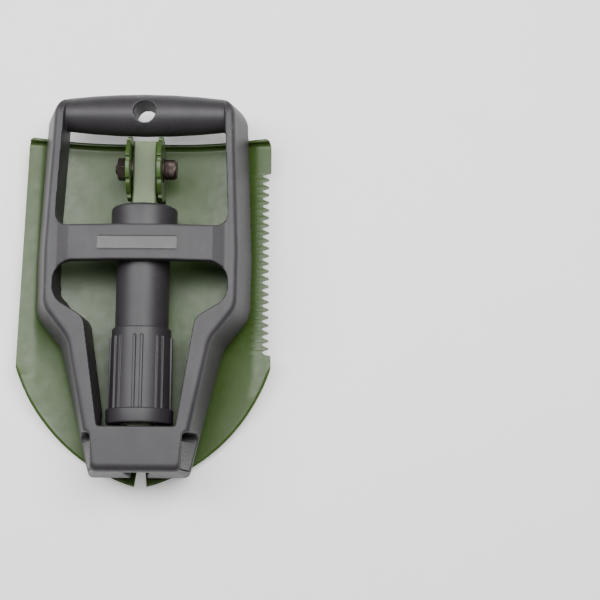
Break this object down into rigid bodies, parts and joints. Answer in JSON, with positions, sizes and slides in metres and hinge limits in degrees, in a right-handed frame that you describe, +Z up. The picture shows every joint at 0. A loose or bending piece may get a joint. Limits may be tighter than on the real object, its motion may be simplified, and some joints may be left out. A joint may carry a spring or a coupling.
{
  "type": "folding camp shovel",
  "caption": "Folding shovel with a pressed saw-edged blade, a square steel stem, a twist-lock sleeve and a moulded D-handle, folded flat.",
  "frame": {"origin": "centre of the bounding box, on the ground that the blade's back lies on", "axes": "+Y from the blade's tip towards its hinge, +Z up from the blade to the handle, +X towards the saw edge"},
  "size_m": [0.162, 0.2499, 0.049],
  "materials": {
    "green_paint": "satin",
    "stem_paint": "satin",
    "black_nylon": "matte",
    "tab_nylon": "matte",
    "label_plastic": "satin",
    "dark_steel": "satin",
    "bare_steel": "satin"
  },
  "bodies": {
    "blade": {"blade": "green_paint", "hinge_bracket": "green_paint", "bracket_rivets": "green_paint", "pivot_bolt": "dark_steel", "pivot_nut": "dark_steel", "pivot_washer": "dark_steel", "pivot_spacers": "dark_steel"},
    "stem": {"stem": "stem_paint", "handle_pin": "bare_steel", "grip_retainer": "bare_steel"},
    "sleeve": {"locking_sleeve": "black_nylon", "lock_insert": "bare_steel"},
    "twist_grip": {"twist_grip": "black_nylon", "grip_end_ring": "black_nylon"},
    "handle": {"handle_frame": "black_nylon", "label_plate": "label_plastic", "tab_spring_left": "bare_steel", "tab_spring_right": "bare_steel"},
    "tab_left": {"release_tab_left": "tab_nylon"},
    "tab_right": {"release_tab_right": "tab_nylon"}
  },
  "joints": [
    {"name": "handle_fold", "type": "hinge", "parent": "stem", "child": "handle", "pos_m": [0, -0.1065, 0.026], "axis": [1, 0, 0], "range_deg": [0, 180]},
    {"name": "blade_fold", "type": "hinge", "parent": "blade", "child": "stem", "pos_m": [0, 0.0765, 0.026], "axis": [-1, 0, 0], "range_deg": [0, 166]},
    {"name": "grip_twist", "type": "hinge", "parent": "stem", "child": "twist_grip", "pos_m": [0, 0, 0.026], "axis": [0, 1, 0], "range_deg": [0, 90]},
    {"name": "sleeve_slide", "type": "slide", "parent": "stem", "child": "sleeve", "axis": [0, 1, 0], "range_m": [0, 0.0085]},
    {"name": "tab_left_press", "type": "slide", "parent": "handle", "child": "tab_left", "axis": [1, 0, 0], "range_m": [0, 0.003], "stiffness_N_per_m": 900, "springref_m": -0.002, "deforming": ["tab_spring_left"]},
    {"name": "tab_right_press", "type": "slide", "parent": "handle", "child": "tab_right", "axis": [-1, 0, 0], "range_m": [0, 0.003], "stiffness_N_per_m": 900, "springref_m": -0.002, "deforming": ["tab_spring_right"]}
  ],
  "couplings": [
    {"joint": "blade_fold", "follows": "handle_fold", "ratio": 0.92222},
    {"joint": "grip_twist", "follows": "sleeve_slide", "rad_per_m": 184.8}
  ]
}
